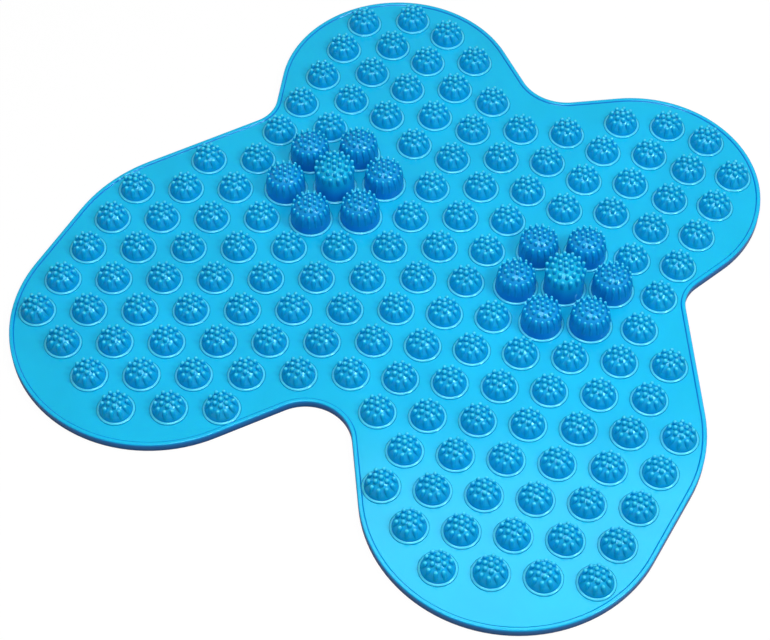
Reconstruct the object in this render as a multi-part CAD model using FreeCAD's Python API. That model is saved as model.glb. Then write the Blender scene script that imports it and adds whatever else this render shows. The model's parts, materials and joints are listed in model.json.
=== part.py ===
import FreeCAD, Part
import math
import os

# Massage mat moulded from silicone in one piece: a thin winged sheet with a
# skirt round its edge, small domes in staggered columns all over it and two
# groups of seven tall domes where the arches of the feet press.
# Millimetres. The mat lies flat on its skirt, with its underside at Z = 0 and
# its middle at X = Y = 0. It is the same left and right of X = 0, the two
# smaller wings point to +Y and the two larger ones to -Y.

# Sheet
SHEET_TOP = 5.0          # height of the sheet's upper face above the floor
SKIN = 2.5               # thickness of the sheet between its edges
SKIRT_WIDTH = 3.0        # width of the wall that carries the edge
RIM_WIDTH = 2.4          # raised border along the edge
RIM_HEIGHT = 0.7         # how far the border stands above the sheet

# Outline of the right half, as rounds joined by straight tangents, from the
# upper notch to the lower one: centre X, centre Y, radius. The edge bulges
# round the wings and makes a hollow at the waist and the notches.
BULGE = 1
HOLLOW = -1
UPPER_NOTCH = (0.0, 173.5, 27.0)
UPPER_WING = (78.0, 111.5, 69.0)
WAIST = (153.5, 60.0, 20.0)
WING_SIDE = (103.0, -56.0, 86.0)
LOWER_WING = (109.0, -100.5, 80.0)
LOWER_NOTCH = (0.0, -127.5, 25.0)

# Pattern of small domes
COLUMN_PITCH = 24.2      # from one column to the next
ROW_PITCH = 24.5         # from one dome to the next in a column
ROW_FALL = 1.6           # how far a row sinks at each column out from the middle
MIDDLE_TOP_Y = 117.0     # uppermost dome of the middle column
# Column, its uppermost row and its lowermost one, in rows above MIDDLE_TOP_Y.
RUNS = (
    (0, 0.0, -8.0),
    (1, 0.5, -8.5),
    (2, 1.5, -1.5),
    (2, -5.0, -10.0),
    (3, 2.0, -1.0),
    (3, -5.5, -10.5),
    (4, 2.1, -1.9),
    (4, -5.0, -11.0),
    (5, 1.5, -10.5),
    (6, -4.0, -10.0),
    (7, -5.5, -9.5),
)

# Flowers of tall domes, one on each side
FLOWER_COLUMN = 3        # column that the middle of a flower lies on
FLOWER_Y = 33.0          # its middle before the rows' fall
FLOWER_RADIUS = 27.0     # from the middle dome to the six round it
PETALS = 6

# Domes as profiles of radius and height above the sheet. The first step of
# each is the collar that the dome stands in.
SMALL_PROFILE = ((10.5, 0.0), (9.3, 0.9), (7.6, 4.8), (3.9, 7.9))
PETAL_PROFILE = ((12.65, 0.0), (11.4, 1.0), (10.8, 7.5), (8.9, 12.0), (4.6, 15.2))
TALL_PROFILE = ((12.65, 0.0), (11.4, 1.0), (11.1, 11.0), (9.6, 16.6), (5.0, 20.4))
SMALL_SIDES = 7          # few facets, because there are so many small domes
BIG_SIDES = 8
ROOT_DEPTH = 1.0         # how far a dome reaches into the sheet to bond

# Middle pin of each tall dome, which sets how high the mat stands
PIN_ROOT_RADIUS = 1.1
PIN_TIP_RADIUS = 0.7
PIN_SIDES = 6
PETAL_PIN_TOP = 19.0     # tip above the sheet
TALL_PIN_TOP = 24.0

NODE = "massage_mat"


def tangent_points(first, second):
    """Touching points of the straight that leads from one round to the next.

    A round is centre X, centre Y, radius and turn, BULGE or HOLLOW. The edge
    is walked with the mat on its right.
    """
    span_x = second[0] - first[0]
    span_y = second[1] - first[1]
    reach = math.hypot(span_x, span_y)
    step = first[3] * first[2] - second[3] * second[2]
    heading = math.atan2(span_y, span_x) - math.asin(step / reach)
    out_x = -math.sin(heading)
    out_y = math.cos(heading)
    leave = (first[0] + first[3] * first[2] * out_x, first[1] + first[3] * first[2] * out_y)
    arrive = (second[0] + second[3] * second[2] * out_x, second[1] + second[3] * second[2] * out_y)
    return leave, arrive


def arc_middle(centre_x, centre_y, radius, turn, start, end):
    """Point half way along a round, from its start to its end."""
    begin = math.atan2(start[1] - centre_y, start[0] - centre_x)
    finish = math.atan2(end[1] - centre_y, end[0] - centre_x)
    sweep = (finish - begin) % (2 * math.pi)
    if turn == BULGE:
        sweep -= 2 * math.pi
    middle = begin + sweep / 2
    return (centre_x + radius * math.cos(middle), centre_y + radius * math.sin(middle))


def edge_rounds(inset):
    """All rounds of the outline, moved in by inset, clockwise from the upper notch."""
    right = [UPPER_WING + (BULGE,), WAIST + (HOLLOW,), WING_SIDE + (BULGE,), LOWER_WING + (BULGE,)]
    left = [(-x, y, radius, turn) for x, y, radius, turn in reversed(right)]
    whole = [UPPER_NOTCH + (HOLLOW,)] + right + [LOWER_NOTCH + (HOLLOW,)] + left
    return [(x, y, radius - turn * inset, turn) for x, y, radius, turn in whole]


def outline_face(inset, height):
    """Flat face inside the mat's outline, moved in by inset, at a height."""
    rounds = edge_rounds(inset)
    count = len(rounds)
    leaves = []
    arrives = [None] * count
    for index, this_round in enumerate(rounds):
        leave, arrive = tangent_points(this_round, rounds[(index + 1) % count])
        leaves.append(leave)
        arrives[(index + 1) % count] = arrive
    edges = []
    for index, (x, y, radius, turn) in enumerate(rounds):
        start = arrives[index]
        end = leaves[index]
        middle = arc_middle(x, y, radius, turn, start, end)
        start_v, middle_v, end_v = (FreeCAD.Vector(p[0], p[1], height) for p in (start, middle, end))
        edges.append(Part.Arc(start_v, middle_v, end_v).toShape())
        following = arrives[(index + 1) % count]
        edges.append(Part.makeLine(end_v, FreeCAD.Vector(following[0], following[1], height)))
    return Part.Face(Part.Wire(edges))


def outline_slab(inset, bottom, top):
    """Slab with the mat's outline, moved in by inset, between two heights."""
    return outline_face(inset, bottom).extrude(FreeCAD.Vector(0, 0, top - bottom))


def moulded_sheet():
    """Sheet with its raised border on top and its skirt below."""
    sheet = outline_slab(0.0, 0.0, SHEET_TOP + RIM_HEIGHT)
    above_sheet = outline_slab(RIM_WIDTH, SHEET_TOP, SHEET_TOP + 2 * RIM_HEIGHT)
    below_skin = outline_slab(SKIRT_WIDTH, -SKIN, SHEET_TOP - SKIN)
    return sheet.cut(above_sheet).cut(below_skin)


def faceted_solid(x, y, steps, sides):
    """Solid of flat facets round an upright axis, from steps of radius and height."""
    rings = []
    for radius, height in steps:
        ring = []
        for side in range(sides):
            angle = 2 * math.pi * side / sides + math.pi / 2
            ring.append(FreeCAD.Vector(x + radius * math.cos(angle), y + radius * math.sin(angle), height))
        rings.append(ring)
    faces = [Part.Face(Part.makePolygon(rings[0] + rings[0][:1]))]
    faces.append(Part.Face(Part.makePolygon(rings[-1] + rings[-1][:1])))
    for lower, upper in zip(rings, rings[1:]):
        for side in range(sides):
            after = (side + 1) % sides
            corners = [lower[side], lower[after], upper[after], upper[side], lower[side]]
            faces.append(Part.Face(Part.makePolygon(corners)))
    return Part.Solid(Part.Shell(faces))


def dome(x, y, profile, sides):
    """Dome in its collar, rooted in the sheet."""
    steps = [(profile[0][0], SHEET_TOP - ROOT_DEPTH)]
    steps += [(radius, SHEET_TOP + height) for radius, height in profile]
    return faceted_solid(x, y, steps, sides)


def middle_pin(x, y, profile, tip):
    """Tapered pin that stands on the crown of a tall dome."""
    crown = SHEET_TOP + profile[-1][1]
    steps = ((PIN_ROOT_RADIUS, crown - ROOT_DEPTH), (PIN_TIP_RADIUS, SHEET_TOP + tip))
    return faceted_solid(x, y, steps, PIN_SIDES)


def fallen(x, y):
    """Place on the mat, sunk with its row by its distance from the middle."""
    return (x, y - ROW_FALL * abs(x) / COLUMN_PITCH)


def small_places():
    """Places of all small domes, on both sides of the middle."""
    places = []
    for column, uppermost, lowermost in RUNS:
        for sign in (1, -1) if column else (1,):
            for row in range(round(uppermost - lowermost) + 1):
                x = sign * column * COLUMN_PITCH
                places.append(fallen(x, MIDDLE_TOP_Y + (uppermost - row) * ROW_PITCH))
    return places


def flower_middles():
    """Places of the two middle domes of the flowers."""
    x = FLOWER_COLUMN * COLUMN_PITCH
    return [fallen(sign * x, FLOWER_Y) for sign in (1, -1)]


def petal_places():
    """Places of the domes round the middle of each flower."""
    places = []
    for sign in (1, -1):
        for petal in range(PETALS):
            angle = math.pi / 2 + 2 * math.pi * petal / PETALS
            x = sign * (FLOWER_COLUMN * COLUMN_PITCH + FLOWER_RADIUS * math.cos(angle))
            places.append(fallen(x, FLOWER_Y + FLOWER_RADIUS * math.sin(angle)))
    return places


def massage_mat():
    """The whole moulded mat as one solid."""
    bumps = [dome(x, y, SMALL_PROFILE, SMALL_SIDES) for x, y in small_places()]
    for x, y in petal_places():
        bumps.append(dome(x, y, PETAL_PROFILE, BIG_SIDES))
        bumps.append(middle_pin(x, y, PETAL_PROFILE, PETAL_PIN_TOP))
    for x, y in flower_middles():
        bumps.append(dome(x, y, TALL_PROFILE, BIG_SIDES))
        bumps.append(middle_pin(x, y, TALL_PROFILE, TALL_PIN_TOP))
    return moulded_sheet().multiFuse(bumps)


def main():
    os.makedirs("parts", exist_ok=True)
    mat = massage_mat()
    box = mat.BoundBox
    print(NODE, "solids", len(mat.Solids), "valid", mat.isValid())
    print("size", round(box.XLength, 2), round(box.YLength, 2), round(box.ZLength, 2))
    print("volume in cubic centimetres", round(mat.Volume / 1000, 1))
    mat.Solids[0].exportStep(os.path.join("parts", NODE + ".step"))


main()
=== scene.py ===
import json
import math

import bpy
from mathutils import Matrix, Vector

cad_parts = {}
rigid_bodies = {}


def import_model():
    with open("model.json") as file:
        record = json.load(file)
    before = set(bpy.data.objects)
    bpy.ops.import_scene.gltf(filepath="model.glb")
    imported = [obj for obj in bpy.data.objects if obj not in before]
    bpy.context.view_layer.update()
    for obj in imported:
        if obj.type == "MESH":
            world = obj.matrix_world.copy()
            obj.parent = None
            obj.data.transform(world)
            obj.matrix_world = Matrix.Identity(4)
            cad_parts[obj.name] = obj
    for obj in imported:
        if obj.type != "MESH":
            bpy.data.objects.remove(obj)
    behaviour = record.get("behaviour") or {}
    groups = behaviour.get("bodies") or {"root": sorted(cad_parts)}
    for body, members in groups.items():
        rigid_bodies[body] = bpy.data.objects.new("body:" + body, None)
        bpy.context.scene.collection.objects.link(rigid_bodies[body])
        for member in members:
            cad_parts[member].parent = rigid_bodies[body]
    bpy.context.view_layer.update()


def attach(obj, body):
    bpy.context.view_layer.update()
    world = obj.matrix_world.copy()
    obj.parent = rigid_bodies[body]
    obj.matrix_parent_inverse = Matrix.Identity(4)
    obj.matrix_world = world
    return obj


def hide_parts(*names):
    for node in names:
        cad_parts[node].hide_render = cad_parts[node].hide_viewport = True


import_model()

# The mat's looks: one blue silicone moulding, seen from above on a slant, on a
# white floor. Its solid carries faceted domes; the pieces made here carry the
# round domes, their collars, every pin and the soft edge. They lie in the frame
# of the solid. Sizes are in millimetres, which MM turns to metres.

MM = 0.001
UP = (0, 0, 1)
MERGE = 0.05             # how near two points lie that are one
LEVEL = 0.999            # height of a face's normal from which the face counts as level

# Sheet and its edge
SHEET_TOP = 5.0 * MM
SKIN = 2.5 * MM
SKIRT_WIDTH = 3.0 * MM
SKIRT_TAPER = 0.01 * MM
FOOT_ROUND = 0.5 * MM
ARC_STEP = math.radians(3.0)
SHEET_CREASE = math.radians(40)
# Edge of the mat as inset from its outline, height and depth of colour, from
# the top of the side wall over the rounded border and down its inner slope to
# the sheet. Each height stands for one depth. The deeper colour on the outer
# rounding and down the inner slope, into its groove, is painted shade.
EDGE_PROFILE = (
    (0.0, 4.9, 0.5), (0.07, 5.36, 0.38), (0.26, 5.6, 0.3), (0.6, 5.69, 0.13), (1.2, 5.7, 0.12),
    (1.85, 5.69, 0.13), (2.1, 5.56, 0.4), (2.35, 5.3, 0.62), (2.55, 5.08, 0.5), (2.75, 5.0, 0.12),
)

# Outline of the right half: centre X, centre Y, radius and turn of each
# round, +1 where the edge bulges and -1 where it is hollow.
OUTLINE = (
    (0.0, 173.5, 27.0, -1),
    (78.0, 111.5, 69.0, 1),
    (153.5, 60.0, 20.0, -1),
    (103.0, -56.0, 86.0, 1),
    (109.0, -100.5, 80.0, 1),
    (0.0, -127.5, 25.0, -1),
)

# Pattern of domes
COLUMN_PITCH = 24.2
ROW_PITCH = 24.5
ROW_FALL = 1.6
MIDDLE_TOP_Y = 117.0
# Column, its uppermost row and its lowermost one, in rows above MIDDLE_TOP_Y.
RUNS = (
    (0, 0.0, -8.0), (1, 0.5, -8.5), (2, 1.5, -1.5), (2, -5.0, -10.0), (3, 2.0, -1.0), (3, -5.5, -10.5),
    (4, 2.1, -1.9), (4, -5.0, -11.0), (5, 1.5, -10.5), (6, -4.0, -10.0), (7, -5.5, -9.5),
)
MIDDLE_COLUMNS = 2.5     # columns from the middle out to where the outer pieces begin
FLOWER_COLUMN = 3
FLOWER_Y = 33.0
FLOWER_RADIUS = 27.0
PETALS = 6

# Domes as turned profiles of radius and height above the sheet: foot in its
# pocket, collar with a round crest, groove, flank, crown.
COLLAR_SIDES = 36
COLLAR_WALL = 1          # point of a profile that lies on the collar's side wall
COLLAR_CREST = 6         # point of a profile at which the collar is highest
COLLAR_FOOT = 0.22       # height at which a collar's slope begins
COLLAR_TOP = 0.8         # height under which a dome's points are its collar's
DOME_CREASE = math.radians(50)
POCKET_DEPTH = 0.6
POCKET_GAP = 0.25
SMALL_PROFILE = (
    (0.0, -0.9), (10.2, -0.9), (10.2, 0.05), (10.15, 0.18), (10.04, 0.27), (9.25, 0.69), (9.1, 0.7),
    (9.0, 0.58), (8.93, 0.42), (8.82, 0.9), (8.55, 2.1), (7.8, 3.6), (6.5, 5.1), (4.9, 6.4),
    (3.1, 7.4), (1.5, 7.9), (0.0, 8.05),
)
PETAL_PROFILE = (
    (0.0, -0.9), (12.4, -0.9), (12.4, 0.05), (12.35, 0.18), (12.24, 0.27), (11.47, 0.69), (11.33, 0.7),
    (11.25, 0.58), (11.18, 0.42), (11.16, 1.0), (11.15, 3.0), (11.0, 5.5), (10.7, 8.0), (10.15, 10.0),
    (9.2, 11.9), (7.6, 13.7), (5.4, 15.1), (2.9, 16.0), (1.2, 16.2), (0.0, 16.25),
)
TALL_PROFILE = (
    (0.0, -0.9), (12.4, -0.9), (12.4, 0.05), (12.35, 0.18), (12.24, 0.27), (11.47, 0.69), (11.33, 0.7),
    (11.25, 0.58), (11.18, 0.42), (11.16, 1.0), (11.15, 4.0), (11.05, 8.0), (10.9, 12.0), (10.5, 14.6),
    (9.7, 16.5), (8.0, 18.2), (5.6, 19.5), (3.0, 20.2), (1.4, 20.4), (0.0, 20.45),
)

# Pins: rings of radius at the tip, radius at the root, count, first angle in
# degrees, root height, tip height and thickness.
PIN_SIDES = 10
PIN_WAIST = 0.45         # share of its length, from the tip down, over which a pin hardly tapers
PIN_ROOT_SWELL = 1.12    # radius at a pin's root, as a share of the pin's own
PIN_WAIST_SWELL = 1.02   # the same where the taper begins
PIN_END_ANGLES = (36, 68)
PIN_FADE = 1.9           # length from its end over which a pin deepens in colour; its pale end is partly a painted highlight
SMALL_PINS = (
    (0.0, 0.0, 1, 0.0, 6.5, 10.8, 2.8),
    (3.4, 3.5, 6, 0.0, 5.0, 9.7, 2.4),
    (6.4, 7.4, 10, 0.0, 1.6, 8.0, 2.3),
)
PETAL_PINS = (
    (0.0, 0.0, 1, 0.0, 14.0, 19.0, 1.8),
    (3.1, 3.0, 6, 0.0, 13.0, 18.6, 1.7),
    (6.3, 6.0, 12, 8.0, 11.0, 17.2, 1.7),
    (9.3, 10.4, 17, 0.0, 5.5, 14.4, 1.6),
)
TALL_PINS = (
    (0.0, 0.0, 1, 0.0, 18.0, 24.0, 2.4),
    (3.6, 3.4, 6, 0.0, 17.0, 23.4, 2.3),
    (7.2, 6.8, 11, 8.0, 15.0, 22.2, 2.3),
    (10.5, 9.9, 15, 0.0, 13.5, 19.7, 2.2),
)

# How thick the silicone looks at a place, from the pins' clear ends and the thin
# sheet to the side wall seen edge-on, and the colour that it has there. The pins'
# pale ends are partly a painted highlight and the collars' pale slopes wholly one;
# the deep colour in the border's groove and low on the side wall is painted shade.
TIP_AND_HIGHLIGHT_DEPTH = 0.0
THIN_DEPTH = 0.12
SMALL_DEPTH = 0.38
TALL_DEPTH = 0.5
GROOVE_SHADE_DEPTH = 0.65
WALL_AND_SHADE_DEPTH = 1.0
# The same at the foot of a dome's body and on its crown: the darker foot is painted shade and the paler
# crown painted light.
SMALL_SHADES = (0.4, 0.24)
PETAL_SHADES = (0.54, 0.4)
TALL_SHADES = (0.62, 0.1)
TINTS = (
    (TIP_AND_HIGHLIGHT_DEPTH, "#4cd0f3"), (THIN_DEPTH, "#10bbe6"), (SMALL_DEPTH, "#0aa0e0"), (TALL_DEPTH, "#0a84d4"),
    (GROOVE_SHADE_DEPTH, "#0a70bc"), (WALL_AND_SHADE_DEPTH, "#084482"),
)

# Patterns in the silicone: clouding of its pigment, the mould's waviness and
# the fine grain of its skin, each by its size and, for relief, its height. The
# grain is coarser than a moulded skin's own, which is too fine to show.
CLOUD_SIZE = 40.0 * MM
WAVE_SIZE = 12.5 * MM
WAVE_HEIGHT = 0.4 * MM
GRAIN_SIZE = 0.625 * MM
GRAIN_HEIGHT = 0.05 * MM
GLOW_DEPTH = 2.5 * MM    # how far light spreads inside the silicone

NODE = "massage_mat"


def linear(hex_colour):
    """Linear colour of an sRGB hex value."""
    channels = [int(hex_colour[i:i + 2], 16) / 255 for i in (1, 3, 5)]
    return [c / 12.92 if c <= 0.04045 else ((c + 0.055) / 1.055) ** 2.4 for c in channels] + [1.0]


def add_node(tree, kind, settings=(), inputs=()):
    """Shader node with its settings, and its inputs set or linked."""
    node = tree.nodes.new(kind)
    for name, value in dict(settings).items():
        setattr(node, name, value)
    for name, value in dict(inputs).items():
        if isinstance(value, bpy.types.NodeSocket):
            tree.links.new(value, node.inputs[name])
        else:
            node.inputs[name].default_value = value
    return node


def new_material(name):
    """Empty material with its tree and its output."""
    material = bpy.data.materials.new(name)
    material.use_nodes = True
    tree = material.node_tree
    tree.nodes.clear()
    output = add_node(tree, "ShaderNodeOutputMaterial")
    return material, tree, output


def moulded_silicone():
    """Glossy moulded silicone rubber, tinted blue.

    A thin sheet of it lets light through and looks bright cyan. Where it is
    thick, in the domes and seen edge-on in the side wall, it turns deep blue.
    Its colour also carries painted light: a painted highlight on the pins' pale
    ends and the collars' slopes, painted light on the domes' crowns, and painted
    shade at the domes' feet, in the border's groove and on the side wall.
    Its skin is glossy from the polished mould, and slightly wavy.
    """
    material, tree, output = new_material("moulded silicone")
    place = add_node(tree, "ShaderNodeTexCoord").outputs["Object"]
    depth = add_node(tree, "ShaderNodeAttribute", {"attribute_name": "depth"}).outputs["Fac"]
    tint = add_node(tree, "ShaderNodeValToRGB", {}, {"Fac": depth})
    stops = tint.color_ramp.elements
    while len(stops) < len(TINTS):
        stops.new(0.5)
    for stop, (position, colour) in zip(stops, TINTS):
        stop.position = position
        stop.color = linear(colour)

    # Clouding in the pigment
    clouds = add_node(tree, "ShaderNodeTexNoise", {}, {
        "Vector": place, "Scale": 1 / CLOUD_SIZE, "Detail": 3.0})
    shade = add_node(tree, "ShaderNodeMapRange", {}, {
        "Value": clouds.outputs[0], "From Min": 0.3, "From Max": 0.7, "To Min": 0.93, "To Max": 1.03})
    colour = add_node(tree, "ShaderNodeVectorMath", {"operation": "SCALE"}, {
        0: tint.outputs[0], "Scale": shade.outputs[0]})

    # The mould's waviness and the grain of its skin
    waves = add_node(tree, "ShaderNodeTexNoise", {}, {
        "Vector": place, "Scale": 1 / WAVE_SIZE, "Detail": 1.0})
    grain = add_node(tree, "ShaderNodeTexNoise", {}, {
        "Vector": place, "Scale": 1 / GRAIN_SIZE, "Detail": 2.0})
    wavy = add_node(tree, "ShaderNodeBump", {}, {
        "Height": waves.outputs[0], "Strength": 0.12, "Distance": WAVE_HEIGHT})
    skin = add_node(tree, "ShaderNodeBump", {}, {
        "Height": grain.outputs[0], "Normal": wavy.outputs[0], "Strength": 0.05, "Distance": GRAIN_HEIGHT})
    gloss = add_node(tree, "ShaderNodeMapRange", {}, {
        "Value": clouds.outputs[0], "To Min": 0.1, "To Max": 0.18})

    silicone = add_node(tree, "ShaderNodeBsdfPrincipled", {}, {
        "Base Color": colour.outputs[0],
        "Roughness": gloss.outputs[0],
        "Normal": skin.outputs[0],
        "IOR": 1.41,
        "Specular IOR Level": 0.8,
        "Specular Tint": linear("#98eaff"),
        "Subsurface Weight": 0.4,
        "Subsurface Radius": (0.1, 0.45, 1.0),
        "Subsurface Scale": GLOW_DEPTH,
    })
    tree.links.new(silicone.outputs[0], output.inputs[0])
    return material


def studio_white():
    """White paper floor that the camera sees lifted towards pure white."""
    material, tree, output = new_material("white paper floor")
    rays = add_node(tree, "ShaderNodeLightPath").outputs
    lift = add_node(tree, "ShaderNodeMath", {"operation": "MULTIPLY"}, {0: rays["Is Camera Ray"], 1: LIFT})
    paper = add_node(tree, "ShaderNodeBsdfDiffuse", {}, {"Color": linear(PAPER)})
    glow = add_node(tree, "ShaderNodeEmission", {}, {
        "Color": linear(WHITE), "Strength": LIFT_STRENGTH})
    mixed = add_node(tree, "ShaderNodeMixShader", {}, {
        0: lift.outputs[0], 1: paper.outputs[0], 2: glow.outputs[0]})
    tree.links.new(mixed.outputs[0], output.inputs[0])
    return material


def deselect_all():
    """Leaves edit mode and leaves nothing selected."""
    if bpy.context.object and bpy.context.object.mode == "EDIT":
        bpy.ops.object.mode_set(mode="OBJECT")
    bpy.ops.object.select_all(action="DESELECT")


def begin_chain(name, start):
    """Object in edit mode that is one selected vertex, for a chain drawn one point at a time."""
    deselect_all()
    bpy.ops.mesh.primitive_plane_add(size=1.0, location=(0, 0, 0))
    piece = bpy.context.object
    piece.name = name
    bpy.ops.object.mode_set(mode="EDIT")
    bpy.ops.mesh.select_mode(type="VERT")
    bpy.ops.mesh.select_all(action="SELECT")
    bpy.ops.mesh.merge(type="CENTER")
    bpy.ops.transform.translate(value=start)
    return piece


def draw_to(here, there):
    """Extrudes the selected vertex on by the step between two points."""
    step = Vector(there) - Vector(here)
    bpy.ops.mesh.extrude_vertices_move(TRANSFORM_OT_translate={"value": step})


def select_faces(piece, wanted):
    """In edit mode, leaves just the faces selected whose centre and normal are wanted."""
    bpy.ops.mesh.select_mode(type="FACE")
    bpy.ops.mesh.select_all(action="DESELECT")
    bpy.ops.object.mode_set(mode="OBJECT")
    for face in piece.data.polygons:
        face.select = wanted(face.center, face.normal)
    bpy.ops.object.mode_set(mode="EDIT")


def turned(name, profile, sides):
    """Solid turned about Z from a profile of radius and height in millimetres."""
    points = [Vector((radius * MM, 0, height * MM)) for radius, height in profile]
    piece = begin_chain(name, points[0])
    for here, there in zip(points, points[1:]):
        draw_to(here, there)
    bpy.ops.mesh.select_all(action="SELECT")
    bpy.ops.mesh.spin(steps=sides, angle=2 * math.pi, center=(0, 0, 0), axis=UP)
    bpy.ops.mesh.select_all(action="SELECT")
    bpy.ops.mesh.remove_doubles(threshold=MERGE * MM / 5)
    bpy.ops.mesh.normals_make_consistent(inside=False)
    bpy.ops.object.mode_set(mode="OBJECT")
    bpy.ops.object.shade_smooth_by_angle(angle=DOME_CREASE)
    return piece


def mark_depth(piece, depth_at):
    """Stores the depth of colour at each vertex, from where it lies: how thick the silicone looks, with
    painted highlights and painted shade in it.
    """
    layer = piece.data.attributes.new("depth", "FLOAT", "POINT")
    for vertex, value in zip(piece.data.vertices, layer.data):
        value.value = depth_at(vertex.co)


def copies(template, moves, name):
    """One piece of a template set down by each move, every copy with a mesh of its own."""
    deselect_all()
    for move in moves:
        copy = template.copy()
        copy.data = template.data.copy()
        copy.data.transform(move)
        bpy.context.collection.objects.link(copy)
        copy.select_set(True)
        bpy.context.view_layer.objects.active = copy
    bpy.ops.object.join()
    piece = bpy.context.object
    piece.name = name
    return piece


def discard(piece):
    """Removes a template or a cutter with its mesh."""
    mesh = piece.data
    bpy.data.objects.remove(piece)
    bpy.data.meshes.remove(mesh)


def pin_template(thickness, length):
    """Round-ended pin, its tip at the origin and its root below."""
    radius = thickness / 2
    profile = [(0.0, -length), (radius * PIN_ROOT_SWELL, -length)]
    profile += [(radius * PIN_WAIST_SWELL, -length * PIN_WAIST), (radius, -radius)]
    for degrees in PIN_END_ANGLES:
        turn = math.radians(degrees)
        profile.append((radius * math.cos(turn), radius * (math.sin(turn) - 1)))
    profile.append((0.0, 0.0))
    return turned("pin", profile, PIN_SIDES)


def ring_moves(tip_radius, root_radius, count, first, root_z, tip_z):
    """Moves that set a ring of pins down, each leaning from its root to its tip."""
    moves = []
    for pin in range(count):
        angle = math.radians(first) + 2 * math.pi * pin / count
        outward = Vector((math.cos(angle), math.sin(angle), 0))
        tip = outward * tip_radius * MM + Vector((0, 0, tip_z * MM))
        root = outward * root_radius * MM + Vector((0, 0, root_z * MM))
        lean = Vector(UP).rotation_difference(tip - root).to_matrix().to_4x4()
        moves.append(Matrix.Translation(tip) @ lean)
    return moves


def pinned_dome(name, profile, rings, flank, crown):
    """Dome in its collar with all its pins, modelled once at the origin.

    flank and crown are the depths of its colour at the foot of the body and
    on top of it; the darker foot is painted shade and the paler crown painted
    light. The collar's outer slope has the colour of the pins' pale ends, a
    painted highlight.
    """
    body = turned(name, profile, COLLAR_SIDES)
    top = profile[-1][1]
    crest = profile[COLLAR_CREST][0] - MERGE

    def body_depth(point):
        height = point.z / MM
        if height < COLLAR_TOP:
            # The collar's outer slope takes the pale colour: a painted highlight.
            on_slope = height > COLLAR_FOOT and math.hypot(point.x, point.y) / MM > crest
            return TIP_AND_HIGHLIGHT_DEPTH if on_slope else SMALL_DEPTH
        # Darker at the body's foot, paler up to the crown: painted shade and painted light.
        return flank + (crown - flank) * height / top

    def pin_depth(point):
        # The pin's pale end is partly a painted highlight.
        along = min(1.0, -point.z / MM / PIN_FADE)
        return TIP_AND_HIGHLIGHT_DEPTH + ((flank + crown) / 2 - TIP_AND_HIGHLIGHT_DEPTH) * along

    mark_depth(body, body_depth)
    parts = [body]
    for tip_radius, root_radius, count, first, root_z, tip_z, thickness in rings:
        pin = pin_template(thickness, tip_z - root_z)
        mark_depth(pin, pin_depth)
        parts.append(copies(pin, ring_moves(tip_radius, root_radius, count, first, root_z, tip_z), "ring"))
        discard(pin)
    deselect_all()
    for part in parts:
        part.select_set(True)
    bpy.context.view_layer.objects.active = body
    bpy.ops.object.join()
    return body


def fallen(x, y):
    """Place on the sheet's upper face, sunk with its row by its distance from the middle."""
    return Vector((x * MM, (y - ROW_FALL * abs(x) / COLUMN_PITCH) * MM, SHEET_TOP))


def small_places():
    """Places of all small domes, on both sides of the middle."""
    places = []
    for column, uppermost, lowermost in RUNS:
        for sign in (1, -1) if column else (1,):
            for row in range(round(uppermost - lowermost) + 1):
                y = MIDDLE_TOP_Y + (uppermost - row) * ROW_PITCH
                places.append(fallen(sign * column * COLUMN_PITCH, y))
    return places


def flower_places():
    """Middles of the two flowers, and the places of their petals."""
    middles = [fallen(sign * FLOWER_COLUMN * COLUMN_PITCH, FLOWER_Y) for sign in (1, -1)]
    petals = []
    for sign in (1, -1):
        for petal in range(PETALS):
            angle = math.pi / 2 + 2 * math.pi * petal / PETALS
            x = sign * (FLOWER_COLUMN * COLUMN_PITCH + FLOWER_RADIUS * math.cos(angle))
            petals.append(fallen(x, FLOWER_Y + FLOWER_RADIUS * math.sin(angle)))
    return middles, petals


def touching_points(first, second):
    """Ends of the straight that leads from one round of the outline to the next."""
    span_x = second[0] - first[0]
    span_y = second[1] - first[1]
    step = first[3] * first[2] - second[3] * second[2]
    heading = math.atan2(span_y, span_x) - math.asin(step / math.hypot(span_x, span_y))
    out = Vector((-math.sin(heading), math.cos(heading), 0))
    leave = Vector((first[0], first[1], 0)) + out * first[3] * first[2]
    arrive = Vector((second[0], second[1], 0)) + out * second[3] * second[2]
    return leave, arrive


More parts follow.
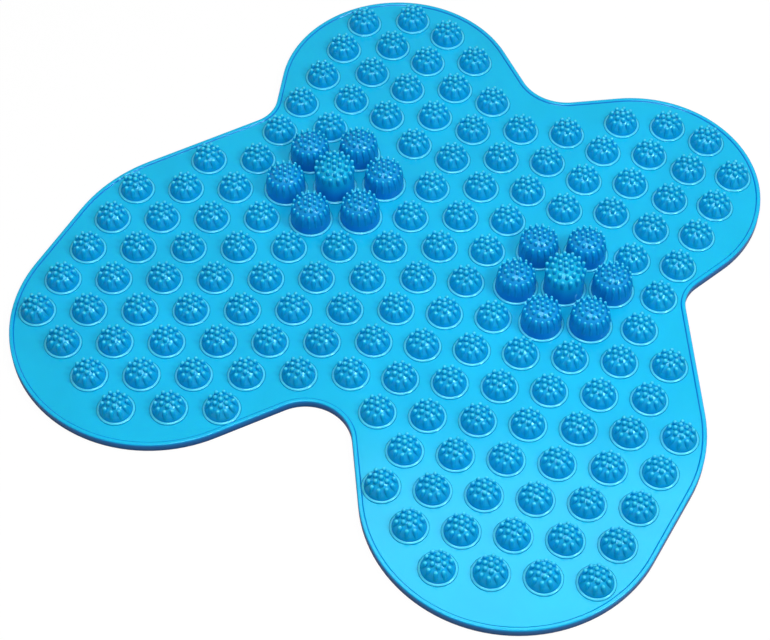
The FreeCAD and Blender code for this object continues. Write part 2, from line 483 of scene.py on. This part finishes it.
def outline_face():
    """Flat face inside the mat's outline, at the top of its foot, drawn round by round and mirrored."""
    here = Vector((0, OUTLINE[0][1] - OUTLINE[0][2], 0))
    last = Vector((0, OUTLINE[-1][1] + OUTLINE[-1][2], 0))
    piece = begin_chain("mat_sheet", here * MM + Vector((0, 0, FOOT_ROUND)))
    for index, (x, y, radius, turn) in enumerate(OUTLINE):
        middle = Vector((x, y, 0))
        if index + 1 < len(OUTLINE):
            leave, arrive = touching_points(OUTLINE[index], OUTLINE[index + 1])
        else:
            leave, arrive = last, None
        begin = math.atan2(here.y - y, here.x - x)
        finish = math.atan2(leave.y - y, leave.x - x)
        sweep = (finish - begin) % (2 * math.pi)
        if turn > 0:
            sweep -= 2 * math.pi
        steps = max(2, round(abs(sweep) / ARC_STEP))
        centre = middle * MM + Vector((0, 0, FOOT_ROUND))
        bpy.ops.mesh.spin(steps=steps, angle=-sweep, center=centre, axis=UP)
        if arrive is not None:
            draw_to(leave * MM, arrive * MM)
            here = arrive
    bpy.ops.object.mode_set(mode="OBJECT")
    bpy.ops.object.modifier_add(type="MIRROR")
    piece.modifiers[0].merge_threshold = MERGE * MM
    bpy.ops.object.modifier_apply(modifier=piece.modifiers[0].name)
    bpy.ops.object.mode_set(mode="EDIT")
    bpy.ops.mesh.select_all(action="SELECT")
    bpy.ops.mesh.remove_doubles(threshold=MERGE * MM)
    bpy.ops.mesh.edge_face_add()
    bpy.ops.mesh.normals_make_consistent(inside=False)
    bpy.ops.object.mode_set(mode="OBJECT")
    if piece.data.polygons[0].normal.z < 0:
        piece.data.flip_normals()
    return piece


def sheet_depth(point):
    """Depth of colour on the sheet: its edge's own, thin below and in pockets, deep at the wall's foot,
    where it is painted shade.
    """
    point_height = point.z / MM
    for _, height, depth in EDGE_PROFILE:
        if abs(point_height - height) < MERGE / 10:
            return depth
    pocket_floor = SHEET_TOP / MM - POCKET_DEPTH
    if min(abs(point_height - SKIN / MM), abs(point_height - pocket_floor)) < MERGE:
        return THIN_DEPTH
    # The rest lies low on the side wall and under the foot; its deepest colour is painted shade.
    return WALL_AND_SHADE_DEPTH


def moulded_sheet(pockets):
    """Sheet with its rounded border, side wall, recess below and a pocket for every dome."""
    piece = outline_face()
    bpy.ops.object.mode_set(mode="EDIT")
    bpy.ops.mesh.select_all(action="SELECT")
    wall = EDGE_PROFILE[0][1] * MM - FOOT_ROUND
    bpy.ops.mesh.extrude_region_move(TRANSFORM_OT_translate={"value": (0, 0, wall)})
    select_faces(piece, lambda centre, normal: abs(normal.z) > LEVEL and centre.z > SHEET_TOP / 2)
    for (inset, height, _), (next_inset, next_height, _) in zip(EDGE_PROFILE, EDGE_PROFILE[1:]):
        bpy.ops.mesh.inset(thickness=(next_inset - inset) * MM, depth=(next_height - height) * MM)
    select_faces(piece, lambda centre, normal: abs(normal.z) > LEVEL and centre.z < SHEET_TOP / 2)
    bpy.ops.mesh.inset(thickness=FOOT_ROUND, depth=FOOT_ROUND)
    bpy.ops.mesh.inset(thickness=SKIRT_WIDTH - FOOT_ROUND, depth=0)
    bpy.ops.mesh.inset(thickness=SKIRT_TAPER, depth=-(SHEET_TOP - SKIN))
    bpy.ops.mesh.select_all(action="SELECT")
    bpy.ops.mesh.normals_make_consistent(inside=False)
    bpy.ops.object.mode_set(mode="OBJECT")

    # Cutters for the pockets, from a pocket's floor up past the sheet
    deselect_all()
    reach = 4 * POCKET_DEPTH * MM
    lift = Vector((0, 0, reach / 2 - POCKET_DEPTH * MM))
    for place, radius in pockets:
        bpy.ops.mesh.primitive_cylinder_add(
            vertices=COLLAR_SIDES, radius=(radius + POCKET_GAP) * MM, depth=reach, location=place + lift)
    for other in bpy.data.objects:
        other.select_set(other.name.startswith("Cylinder"))
    bpy.ops.object.join()
    cutter = bpy.context.object
    deselect_all()
    piece.select_set(True)
    bpy.context.view_layer.objects.active = piece
    bpy.ops.object.modifier_add(type="BOOLEAN")
    piece.modifiers[0].object = cutter
    piece.modifiers[0].solver = "EXACT"
    bpy.ops.object.modifier_apply(modifier=piece.modifiers[0].name)
    discard(cutter)
    bpy.ops.object.shade_smooth_by_angle(angle=SHEET_CREASE)
    # Level faces are flat shaded, so that the border's slope doesn't bend what they mirror.
    bpy.ops.object.mode_set(mode="EDIT")
    select_faces(piece, lambda centre, normal: abs(normal.z) > LEVEL)
    bpy.ops.mesh.faces_shade_flat()
    bpy.ops.object.mode_set(mode="OBJECT")
    mark_depth(piece, sheet_depth)
    return piece


def finished(piece, material):
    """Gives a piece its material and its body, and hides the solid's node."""
    piece.data.materials.clear()
    piece.data.materials.append(material)
    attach(piece, "root")
    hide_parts(NODE)


def mat():
    """The sheet, the small domes in three pieces, and the flowers' petals and middles."""
    silicone = moulded_silicone()
    small = small_places()
    middles, petals = flower_places()
    pockets = [(place, SMALL_PROFILE[COLLAR_WALL][0]) for place in small]
    pockets += [(place, TALL_PROFILE[COLLAR_WALL][0]) for place in middles]
    pockets += [(place, PETAL_PROFILE[COLLAR_WALL][0]) for place in petals]
    finished(moulded_sheet(pockets), silicone)

    small_dome = pinned_dome("small_dome", SMALL_PROFILE, SMALL_PINS, *SMALL_SHADES)
    border = MIDDLE_COLUMNS * COLUMN_PITCH * MM
    sides = (
        ("small_domes_left", lambda place: place.x < -border),
        ("small_domes_middle", lambda place: abs(place.x) < border),
        ("small_domes_right", lambda place: place.x > border),
    )
    for name, here in sides:
        moves = [Matrix.Translation(place) for place in small if here(place)]
        finished(copies(small_dome, moves, name), silicone)
    discard(small_dome)

    petal_dome = pinned_dome("petal_dome", PETAL_PROFILE, PETAL_PINS, *PETAL_SHADES)
    finished(copies(petal_dome, [Matrix.Translation(place) for place in petals], "petal_domes"), silicone)
    discard(petal_dome)
    tall_dome = pinned_dome("tall_dome", TALL_PROFILE, TALL_PINS, *TALL_SHADES)
    finished(copies(tall_dome, [Matrix.Translation(place) for place in middles], "tall_domes"), silicone)
    discard(tall_dome)


# Camera, high in front of the mat and to its right, with a long lens
CAMERA_PLACE = (0.334, -0.630, 0.953)
CAMERA_AIM = (-0.2880, 0.5069, -0.8125)
CAMERA_LENS = 100.5
CAMERA_SENSOR = 36.0

# Floor and air, with how bright the air is to the mat's skin and in its gloss
FLOOR_SIZE = 6.0
FLOOR_DROP = 0.0002      # how far the floor lies below the mat's foot
PAPER = "#a0a0a0"
WHITE = "#ffffff"
LIFT = 0.87              # share of the floor's white that isn't lit paper
LIFT_STRENGTH = 1.1
AIR_LIGHT = 0.3
AIR_GLOSS = 0.6

# Lamps: place, turn about Z in degrees, width, depth, power. The key aims at
# the mat. The other two hang level: the top one shines on the collars' slopes
# towards the camera, and the front wing mirrors the back one.
KEY = ((0.68, 0.04, 0.92), None, 0.3, 0.3, 5.2)
TOP = ((0.09, -0.19, 0.82), 0.0, 0.38, 0.38, 3.4)
BACK = ((-0.065, 0.394, 1.0), 29.0, 0.50, 0.25, 1.25)


def camera():
    """Camera at its place, looking along its aim."""
    data = bpy.data.cameras.new("camera")
    data.lens = CAMERA_LENS
    data.sensor_width = CAMERA_SENSOR
    data.clip_start = 0.05
    eye = bpy.data.objects.new("camera", data)
    eye.location = CAMERA_PLACE
    eye.rotation_euler = Vector(CAMERA_AIM).to_track_quat("-Z", "Y").to_euler()
    bpy.context.collection.objects.link(eye)
    bpy.context.scene.camera = eye


def lamp(name, place, turn, width, depth, power):
    """Soft rectangular lamp that aims at the mat's middle, or hangs level where it has a turn."""
    data = bpy.data.lights.new(name, "AREA")
    data.shape = "RECTANGLE"
    data.size = width
    data.size_y = depth
    data.energy = power
    light = bpy.data.objects.new(name, data)
    light.location = place
    if turn is None:
        light.rotation_euler = (-Vector(place)).to_track_quat("-Z", "Y").to_euler()
    else:
        light.rotation_euler = (0, 0, math.radians(turn))
    bpy.context.collection.objects.link(light)


def studio():
    """White floor, white surroundings and three soft lamps."""
    deselect_all()
    bpy.ops.mesh.primitive_plane_add(size=FLOOR_SIZE, location=(0, 0, -FLOOR_DROP))
    floor = bpy.context.object
    floor.name = "floor"
    floor.data.materials.append(studio_white())

    world = bpy.data.worlds.new("studio")
    world.use_nodes = True
    bpy.context.scene.world = world
    tree = world.node_tree
    tree.nodes.clear()
    output = add_node(tree, "ShaderNodeOutputWorld")
    rays = add_node(tree, "ShaderNodeLightPath").outputs
    mirrored = add_node(tree, "ShaderNodeMapRange", {}, {
        "Value": rays["Is Glossy Ray"], "To Min": AIR_LIGHT, "To Max": AIR_GLOSS})
    strength = add_node(tree, "ShaderNodeMath", {"operation": "MAXIMUM"}, {
        0: rays["Is Camera Ray"], 1: mirrored.outputs[0]})
    air = add_node(tree, "ShaderNodeBackground", {}, {
        "Color": linear(WHITE), "Strength": strength.outputs[0]})
    tree.links.new(air.outputs[0], output.inputs[0])

    lamp("key", *KEY)
    lamp("top", *TOP)
    lamp("back", *BACK)


mat()
studio()
camera()
bpy.context.scene.view_settings.view_transform = "Standard"
